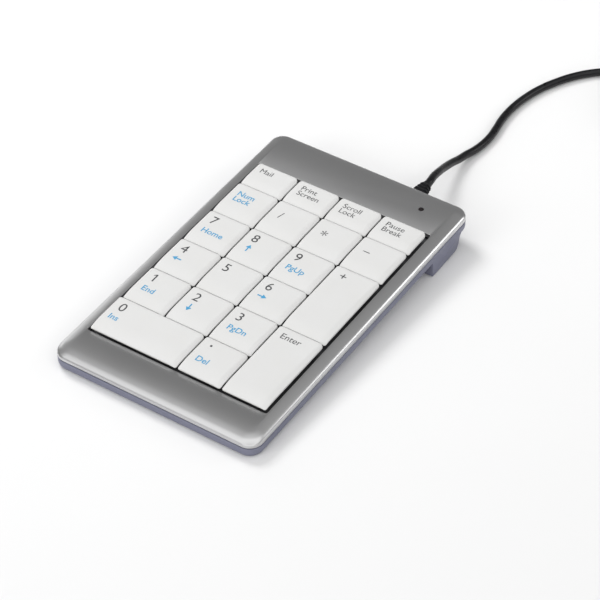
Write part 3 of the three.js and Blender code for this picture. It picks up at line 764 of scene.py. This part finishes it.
def add_plunger(mesh, inner_ring, node, ceiling):
    """Continues the cap's underside into its hollow plunger and centre boss, as one closed skin."""
    low, high = local_box(node)
    x, y = key_centre(node)
    wide, deep = high.x - low.x, high.y - low.y
    angles = [math.atan2((v.co.y - y) / deep, (v.co.x - x) / wide) for v in inner_ring]
    outer, inner, boss = PLUNGER["outer"], PLUNGER["inner"], PLUNGER["boss"]
    last = list(inner_ring)
    for radius, z in (
        (outer, ceiling), (outer, low.z), (inner, low.z), (inner, ceiling),
        (boss, ceiling), (boss, low.z + 0.35),
    ):
        row = [mesh.verts.new((x + radius * math.cos(a), y + radius * math.sin(a), z)) for a in angles]
        for i in range(len(row)):
            j = (i + 1) % len(row)
            mesh.faces.new((last[j], last[i], row[i], row[j]))
        last = row
    mesh.faces.new(last)


# ---- Legends ----
def legend(name, text, node, x, y, size, ink, weight=0.0):
    """Printed text on a cap; its first baseline starts x right of the left rear corner and y in front."""
    low, high = local_box(node)
    data = bpy.data.curves.new(name, "FONT")
    data.body = text
    data.size = 1.0
    data.space_line = 0.86
    data.offset = weight
    holder = bpy.data.objects.new(name, data)
    bpy.context.collection.objects.link(holder)
    bpy.context.view_layer.update()
    flat = bpy.data.meshes.new_from_object(holder.evaluated_get(bpy.context.evaluated_depsgraph_get()))
    bpy.data.objects.remove(holder)
    mesh = bmesh.new()
    mesh.from_mesh(flat)
    bmesh.ops.remove_doubles(mesh, verts=mesh.verts, dist=1e-5)
    if text == "1":
        add_flag(mesh)
    for vert in mesh.verts:
        px = low.x + x + vert.co.x * size
        py = high.y - y + vert.co.y * size
        vert.co = (px, py, cap_height(px, py, (low, high), high.z) + LEGEND_LIFT)
    piece = finish_mesh(name, mesh, ink)
    return add_part(piece, node[len("key_"):] + "_key", "white_keycap")


def add_flag(mesh):
    """Gives the font's plain stroke for a 1 its short flag."""
    left, top = min(v.co.x for v in mesh.verts), max(v.co.y for v in mesh.verts)
    corners = [(left, top), (left - 0.15, top - 0.13), (left - 0.15, top - 0.2), (left, top - 0.09)]
    mesh.faces.new([mesh.verts.new((x, y, 0)) for x, y in corners])


# Dark legends: text, size, left edge, and how far the first baseline lies in front of the cap's rear edge.
DIGIT = (5.9, 3.0, 6.5)
WORD = (3.6, 2.7, 4.9)
DARK_LEGENDS = {
    **{key: (key, *DIGIT) for key in "1234567890"},
    "decimal": (".", 7.5, 3.4, 3.8), "divide": ("/", 5.0, 4.3, 9.1), "multiply": ("*", 6.6, 3.9, 10.4),
    "minus": ("\u2013", 5.5, 3.7, 8.8), "plus": ("+", 5.4, 3.5, 6.2), "enter": ("Enter", 3.9, 2.9, 5.6),
    "mail": ("Mail", *WORD), "print_screen": ("Print\nScreen", *WORD),
    "scroll_lock": ("Scroll\nLock", *WORD), "pause": ("Pause\nBreak", *WORD),
}
SECOND_WORD = (3.75, 3.2, 12.0)
BLUE_LEGENDS = {
    "7": ("Home", *SECOND_WORD), "9": ("PgUp", *SECOND_WORD), "1": ("End", *SECOND_WORD),
    "3": ("PgDn", *SECOND_WORD), "0": ("Ins", 3.75, 2.4, 11.5), "decimal": ("Del", 3.75, 2.9, 12.2),
    "num_lock": ("Num\nLock", 3.75, 3.0, 6.6),
}
ARROWS = {"8": 90, "4": 180, "6": 0, "2": -90}


def add_legends():
    for key, (text, size, x, y) in DARK_LEGENDS.items():
        legend(f"legend_{key}", text, "key_" + key, x, y, size, DARK_INK)
    for key, (text, size, x, y) in BLUE_LEGENDS.items():
        legend(f"legend_{key}_second", text, "key_" + key, x, y, size, BLUE_INK, weight=0.012)
    for key, turn in ARROWS.items():
        arrow(f"legend_{key}_arrow", "key_" + key, 4.9, 10.3, math.radians(turn))


def arrow(name, node, x, y, turn):
    """A small printed arrow, drawn pointing right and then turned."""
    low, high = local_box(node)
    outline = [(-1.9, 0.28), (0.1, 0.28), (0.1, 1.15), (1.9, 0), (0.1, -1.15), (0.1, -0.28), (-1.9, -0.28)]
    mesh = bmesh.new()
    verts = []
    for ax, ay in outline:
        px = low.x + x + ax * math.cos(turn) - ay * math.sin(turn)
        py = high.y - y + ax * math.sin(turn) + ay * math.cos(turn)
        verts.append(mesh.verts.new((px, py, cap_height(px, py, (low, high), high.z) + LEGEND_LIFT)))
    mesh.faces.new(verts)
    bmesh.ops.triangulate(mesh, faces=mesh.faces)
    piece = finish_mesh(name, mesh, BLUE_INK)
    return add_part(piece, node[len("key_"):] + "_key", "white_keycap")


# ---- Cord and its end ----
def add_cord():
    points = cord_route()
    piece = add_curve("usb_cord_sheath", points, CORD_RADIUS * MM)
    piece.data.materials.append(MATERIALS["cord_pvc"])
    add_part(piece, "housing", "cord_pvc", "usb_cord", "usb_cord_coil", "usb_cord_tail")
    tie = coil_tie()
    strain_relief()
    usb_plug()


def coil_tie():
    """A hook-and-loop band round the coil's section on its far side."""
    angle = math.radians(-60)
    middle = COIL["outer"] - CORD_RADIUS * MM * COIL["turns"] / COIL["layers"]
    half_deep = CORD_RADIUS * MM * (COIL["turns"] / COIL["layers"] + 1) + 0.0002
    half_high = CORD_RADIUS * MM * COIL["layers"] + 0.0001
    outline = rounded(-half_deep, half_deep, -half_high, half_high, [0.0022] * 4, 6)
    rings = []
    for grow, along in ((0, -1), (0.0009, -1), (0.0009, 1), (0, 1)):
        row = []
        for u, v in outline:
            reach = math.hypot(u, v)
            share = 1 + grow / reach
            radial = middle + u * share
            side = along * 0.0045
            x = COIL["x"] + radial * math.cos(angle) - side * math.sin(angle)
            y = COIL["y"] + radial * math.sin(angle) + side * math.cos(angle)
            row.append((x, y, max(half_high + v * share, 0.00005)))
        rings.append(row)
    mesh = loft(rings, loop=True)
    bmesh.ops.scale(mesh, vec=(1 / MM,) * 3, verts=mesh.verts)
    tie = finish_mesh("cord_tie", mesh, MATERIALS["clamp_plastic"], matrix=Matrix.Identity(4))
    return add_part(tie, "housing", "clamp_plastic")


# ---- Small parts of the housing ----
def desk_under(y):
    """The desk's height in the housing's frame, in millimetres."""
    start = HOUSE @ Vector((0, y * MM, 0))
    return -start.z / math.cos(TILT) / MM


def foot_pad(node):
    """A rubber disc with softened edges, its face trimmed level with the desk."""
    x, y = node_centre(node)
    top = local_box(node)[1].z
    soft = 0.22
    rings = [
        ring(x, y, PAD_RADIUS - soft, desk_under),
        ring(x, y, PAD_RADIUS - soft * 0.3, lambda py: desk_under(py) + soft * 0.3),
        ring(x, y, PAD_RADIUS, lambda py: desk_under(py) + soft),
        ring(x, y, PAD_RADIUS, top),
    ]
    pad = finish_mesh(node + "_disc", loft(rings), MATERIALS["foot_rubber"])
    return add_part(pad, "housing", "foot_rubber", node)


def case_screw(index):
    """A countersunk cross-head screw, driven up from the underside of the tray."""
    x, y = CASE_SCREWS[index - 1]
    levels = [(1.75, 0.2), (1.95, 0.3), (2.0, 0.45), (2.0, 0.9), (0.8, 0.95), (0.8, 4.2), (0.3, 4.7)]
    body = loft([ring(x, y, r, z) for r, z in levels])
    screw = finish_mesh(f"case_screw_{index}_body", body, MATERIALS["screw_steel"])
    recess = [slab(x - a, x + a, y - b, y + b, -1, 0.6, 0.1) for a, b in ((1.1, 0.25), (0.25, 1.1))]
    cut(screw, [tool(arm) for arm in recess])
    shade_by_angle(screw)
    return add_part(screw, "housing", "screw_steel", f"case_screw_{index}")


def led_lens():
    """The indicator's smoked lens: a flange inside, and a slightly domed face level with the cover."""
    x, y = node_centre("led_window")
    levels = [(1.8, 4.75), (1.8, 5.75), (1.05, 5.8), (1.05, 7.66), (0.98, 7.74), (0.75, 7.78), (0.4, 7.8)]
    lens = finish_mesh("led_lens", loft([ring(x, y, r, z, 24) for r, z in levels]), MATERIALS["led_lens"])
    return add_part(lens, "housing", "led_lens", "led_window")


def key_domes():
    """The silicone sheet, and a hollow dome under each key."""
    low, high = local_box("dome_sheet")
    sheet = finish_mesh(
        "dome_sheet_web", slab(low.x, high.x, low.y, high.y, DOME["floor"], DOME["floor"] + 0.2, 1.5),
        MATERIALS["silicone_domes"],
    )
    add_part(sheet, "housing", "silicone_domes", "dome_sheet")
    outer = [
        (DOME["base"] + 0.5, 2.92), (DOME["base"], 3.1), (2.5, 3.9), (DOME["crown"] + 0.25, 4.7),
        (DOME["crown"], DOME["top"]),
    ]
    inner = [(r - DOME["skin"], z - DOME["skin"]) for r, z in reversed(outer[1:])]
    inner.append((DOME["base"] - 0.1, 2.91))
    for node in KEY_NODES:
        x, y = key_centre(node)
        rings = [ring(x, y, r, z, 24) for r, z in outer + inner]
        piece = finish_mesh(node + "_dome", loft(rings, loop=True), MATERIALS["silicone_domes"])
        add_part(piece, "housing", "silicone_domes")
        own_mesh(piece)


def long_key_place(node, along, across):
    """A point by a long key: along its length, and across towards its stabiliser bar."""
    low, high = local_box(node)
    x, y = key_centre(node)
    return (x + along, y + across) if high.x - low.x > high.y - low.y else (x - across, y + along)


def stabiliser(key):
    """A bent wire: a bar under the cap, an arm at each end, and stubs that turn in the deck."""
    top = WIRE["pivot"] + WIRE["rise"]
    reach, arm, bend = WIRE["reach"], WIRE["arm"], WIRE["bend"]
    half = [
        (reach + WIRE["stub"], arm), (reach + bend, arm), (reach + 0.3 * bend, arm - 0.3 * bend),
        (reach, arm - bend), (reach, bend), (reach - 0.3 * bend, 0.3 * bend), (reach - bend, 0),
    ]
    points = []
    for along, back in half + [(-a, b) for a, b in reversed(half)]:
        x, y = long_key_place("key_" + key, along, WIRE["offset"] - back)
        points.append(HOUSE @ (Vector((x, y, top - back * WIRE["rise"] / arm)) * MM))
    wire = add_curve(f"stabiliser_{key}_wire", points, WIRE["radius"] * MM)
    wire.data.materials.append(MATERIALS["spring_wire"])
    add_part(wire, key + "_stabiliser", "spring_wire", "stabiliser_" + key)
    for side in (-1, 1):
        stabiliser_hook(key, side)


def stabiliser_hook(key, side):
    """A hook under the cap that holds the wire's bar from above."""
    def box(half_long, near, far, low, high):
        middle = side * WIRE["hook"]
        xa, ya = long_key_place("key_" + key, middle - half_long, near)
        xb, yb = long_key_place("key_" + key, middle + half_long, far)
        return slab(min(xa, xb), max(xa, xb), min(ya, yb), max(ya, yb), low, high, 0.1, 1)

    bar = WIRE["pivot"] + WIRE["rise"]
    offset = WIRE["offset"]
    block = box(0.9, offset - 1.9, offset + 1.2, bar - 1.1, 8.85)
    hook = finish_mesh(f"key_{key}_hook", block, MATERIALS["white_keycap"])
    cut(hook, [tool(box(1.8, offset - 0.8, offset + 1.9, bar - 0.8, bar + 0.8))])
    return add_part(hook, key + "_key", "white_keycap")


# ---- Strain relief and plug ----
def strain_relief():
    """A ribbed half-barrel sleeve: a collar inside the wall, a neck through it and ribs behind it."""
    low, high = local_box("cord_strain_relief")
    x, z = (low.x + high.x) / 2, (low.z + high.z) / 2
    wall = HALF_LENGTH
    half_wide, half_tall = GLAND["width"] / 2, GLAND["height"] / 2
    end_wide, end_tall = CORD_RADIUS + 0.65, CORD_RADIUS + 0.25
    sections = [
        (low.y, half_wide - 1, half_tall - 1), (low.y + 0.2, half_wide, half_tall),
        (wall - 5.3, half_wide, half_tall), (wall - 5.2, half_wide - 0.3, half_tall - 0.3),
        (wall + 0.3, half_wide - 0.3, half_tall - 0.3),
    ]
    pitch = GLAND["proud"] / GLAND["ribs"]
    for i in range(GLAND["ribs"]):
        for share, dip in ((0.02, 0.5), (0.1, 0.12), (0.3, 0), (0.52, 0.08), (0.66, 0.5)):
            y = wall + 0.3 + pitch * (i + share)
            taper = (i + share) / GLAND["ribs"]
            wide = half_wide + (end_wide - half_wide) * taper - dip
            tall = half_tall + (end_tall - half_tall) * taper - dip * 0.6
            sections.append((y, wide, tall))
    sections += [
        (high.y, end_wide - 0.4, end_tall - 0.1),
        (high.y + CORD_GAP, CORD_RADIUS + 0.1, CORD_RADIUS + 0.1),
    ]
    rings = []
    for y, wide, tall in sections:
        outline = rounded(-wide, wide, -tall, tall, [min(wide, tall) * 0.95] * 4, 6)
        rings.append([(x + u, y, z + v) for u, v in outline])
    sleeve = finish_mesh("strain_relief_sleeve", loft(rings), MATERIALS["relief_pvc"], sharp=50)
    return add_part(sleeve, "housing", "relief_pvc", "cord_strain_relief")


def plug_box(node):
    """A plug node's box in the row frame, in millimetres."""
    low, high = box_in(Matrix.Identity(4), node)
    return low / MM, high / MM


def plug_rings(low, high, stations, radius):
    """Rings along the plug: each station is its y, its share of the width and of the height."""
    x, z = (low.x + high.x) / 2, (low.z + high.z) / 2
    rings = []
    for y, wide, tall in stations:
        half_x, half_z = (high.x - low.x) / 2 * wide, (high.z - low.z) / 2 * tall
        outline = rounded(-half_x, half_x, -half_z, half_z, [min(radius, half_z * 0.95)] * 4, 6)
        rings.append([(x + u, y, z + v) for u, v in outline])
    return rings


def plug_mesh(name, mesh, material, sharp=SHARP_ANGLE):
    """A part of the plug, which is drawn straight in the row frame."""
    return finish_mesh(name, mesh, MATERIALS[material], Matrix.Identity(4), sharp)


def plug_grip():
    """A grip with finger ribs and a tapered tail."""
    low, high = plug_box("usb_plug_grip")
    rear = high.y
    stations = [
        (rear, 0.42, 0.52), (rear - 0.4, 0.5, 0.62), (rear - 4, 0.72, 0.8), (rear - 8, 0.94, 0.96),
        (rear - 10, 1, 1),
    ]
    for i in range(6):
        y = rear - 12 - i * 1.7
        stations += [(y, 1, 1), (y - 0.3, 0.955, 1), (y - 0.8, 0.955, 1), (y - 1.1, 1, 1)]
    stations += [(low.y + 0.6, 1, 1), (low.y + 0.15, 0.985, 0.97), (low.y, 0.95, 0.93)]
    grip = plug_mesh("plug_grip", loft(plug_rings(low, high, stations, 2.2)), "plug_overmould", 40)
    return add_part(grip, "housing", "plug_overmould", "usb_plug_grip")


def plug_shell():
    """A hollow steel shell, open in front, with two latch windows in its upper wall."""
    low, high = plug_box("usb_plug_shell")
    x, z = (low.x + high.x) / 2, (low.z + high.z) / 2
    stations = [(low.y, 0.985, 0.97), (low.y + 0.2, 1, 1), (high.y, 1, 1)]
    shell = plug_mesh("plug_shell", loft(plug_rings(low, high, stations, 0.7)), "plug_steel")
    hollow = slab(low.x + 0.4, high.x - 0.4, low.y - 1, high.y - 0.6, low.z + 0.4, high.z - 0.4, 0.1)
    windows = [
        slab(x + side * 2.9 - 1.2, x + side * 2.9 + 1.2, high.y - 6.5, high.y - 4, z, z + 5, 0.2)
        for side in (-1, 1)
    ]
    cut(shell, [plug_mesh("tool", mesh, "black_plastic") for mesh in (hollow, *windows)])
    shade_by_angle(shell)
    return add_part(shell, "housing", "plug_steel", "usb_plug_shell")


def plug_tongue():
    """The insulator inside the shell."""
    low, high = plug_box("usb_plug_tongue")
    block = slab(low.x, high.x, low.y, high.y, low.z, high.z, 0.3)
    tongue = plug_mesh("plug_tongue", block, "plug_insulator")
    return add_part(tongue, "housing", "plug_insulator", "usb_plug_tongue")


def plug_contact(index):
    """One of four gold strips that lie side by side on top of the tongue."""
    shell_low, shell_high = plug_box("usb_plug_shell")
    low, high = plug_box("usb_plug_tongue")
    left = (shell_low.x + shell_high.x) / 2 - 4.1 + 2.33 * index
    strip = slab(left, left + 1.1, low.y + 0.8, high.y - 1.5, high.z - 0.05, high.z + 0.06, 0.1)
    contact = plug_mesh(f"plug_contact_{index + 1}", strip, "plug_gold")
    return add_part(contact, "housing", "plug_steel")


def usb_plug():
    return [plug_grip(), plug_shell(), plug_tongue(), *(plug_contact(i) for i in range(4))]


# ---- Studio ----
def add_floor():
    mesh = bmesh.new()
    bmesh.ops.create_grid(mesh, x_segments=2, y_segments=2, size=6000)
    floor = finish_mesh("studio_floor", mesh, floor_paint(), matrix=Matrix.Identity(4))
    floor.location.z = -0.00005


def add_softbox(name, place, size, power):
    """A square or oblong lamp, turned towards the middle of the housing's footprint."""
    data = bpy.data.lights.new(name, "AREA")
    data.shape = "RECTANGLE"
    data.size, data.size_y = size
    data.energy = power
    light = bpy.data.objects.new(name, data)
    light.location = place
    light.rotation_euler = (-Vector(place)).to_track_quat("-Z", "Y").to_euler()
    bpy.context.collection.objects.link(light)
    return light


BRIGHT_SIDE = Vector((0.25, -0.50, 0.83))
# How bright the tent is, from straight away from the bright side (0) to straight towards it (1).
TENT_ENDS = [(0.0, 0.18), (1.0, 0.55)]
TENT_BETWEEN = [
    (0.35, 0.14), (0.47, 0.115), (0.56, 0.10), (0.63, 0.11), (0.69, 0.14), (0.75, 0.23), (0.83, 0.6),
    (0.885, 1.0),
]
TENT_STRENGTH = 1.55


def add_world():
    """A white tent: brightest in a ring round the bright side, dimmest in a band behind the keypad."""
    world = bpy.data.worlds.new("studio")
    bpy.context.scene.world = world
    world.use_nodes = True
    nodes, links = world.node_tree.nodes, world.node_tree.links
    place = nodes.new("ShaderNodeTexCoord")
    towards = nodes.new("ShaderNodeVectorMath")
    towards.operation = "DOT_PRODUCT"
    towards.inputs[1].default_value = BRIGHT_SIDE.normalized()
    share = nodes.new("ShaderNodeMapRange")
    share.inputs["From Min"].default_value = -1
    shades = nodes.new("ShaderNodeValToRGB")
    ramp = shades.color_ramp
    for element, (position, shade) in zip(ramp.elements, TENT_ENDS):
        element.position, element.color = position, (shade, shade, shade, 1)
    for position, shade in TENT_BETWEEN:
        ramp.elements.new(position).color = (shade, shade, shade, 1)
    links.new(place.outputs["Generated"], towards.inputs[0])
    links.new(towards.outputs["Value"], share.inputs["Value"])
    links.new(share.outputs["Result"], shades.inputs["Fac"])
    links.new(shades.outputs["Color"], nodes["Background"].inputs["Color"])
    nodes["Background"].inputs["Strength"].default_value = TENT_STRENGTH


def add_studio():
    add_floor()
    add_world()
    key_light = add_softbox("key_light", (-0.8, 0.28, 0.98), (0.5, 0.5), 9.0)
    key_light.visible_glossy = False
    front_fill = add_softbox("front_fill", (-0.35, -1.1, 0.55), (0.5, 0.4), 2.6)
    front_fill.visible_glossy = False
    add_softbox("left_card", (-1.0, 0.42, 0.42), (0.5, 0.5), 1.0)
    add_softbox("right_card", (0.72, 0.72, 0.5), (0.4, 0.4), 1.5)


add_cord()
top_cover()
bottom_tray()
for key_node in KEY_NODES:
    keycap(key_node)
add_legends()
key_domes()
for long_key in ("plus", "enter", "0"):
    stabiliser(long_key)
for pad_node in PADS:
    foot_pad(pad_node)
for number in range(1, 7):
    case_screw(number)
led_lens()
add_studio()
bpy.context.scene.view_settings.view_transform = "Standard"
